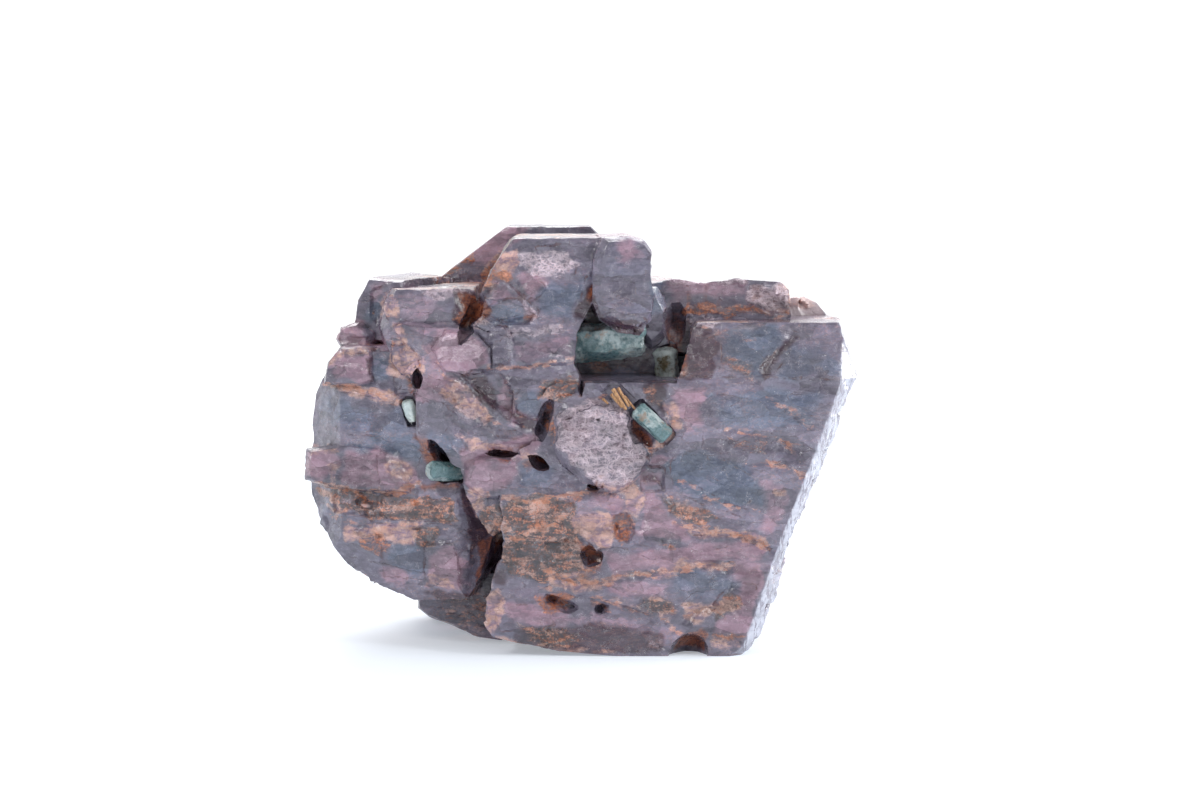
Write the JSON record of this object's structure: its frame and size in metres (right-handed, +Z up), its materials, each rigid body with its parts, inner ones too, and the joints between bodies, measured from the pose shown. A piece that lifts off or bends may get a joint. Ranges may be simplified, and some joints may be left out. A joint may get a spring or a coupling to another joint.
{
  "type": "spinel crystal cluster",
  "caption": "Cluster of intergrown, stepped purple-grey spinel crystals with rusty stains, with small blue-green apatite crystals in its hollows. It rests on its flat base.",
  "frame": {"origin": "middle of the box, on the surface that the cluster rests on", "axes": "+Z up, the broad main crystal face looks towards -Y, +X to the right of a viewer who faces it"},
  "size_m": [0.0566, 0.0366, 0.0426],
  "materials": {
    "spinel": "glossy crystal faces with rusty, duller patches",
    "apatite": "glossy, slightly cloudy",
    "apatite_pale": "glossy, milky",
    "apatite_olive": "glossy, cloudy",
    "mica": "silky"
  },
  "bodies": {
    "root": {"spinel": "spinel", "apatite_large": "apatite", "apatite_prism": "apatite", "apatite_small": "apatite", "apatite_chip": "apatite_pale", "apatite_olive": "apatite_olive", "mica_splinters": "mica"}
  },
  "joints": []
}
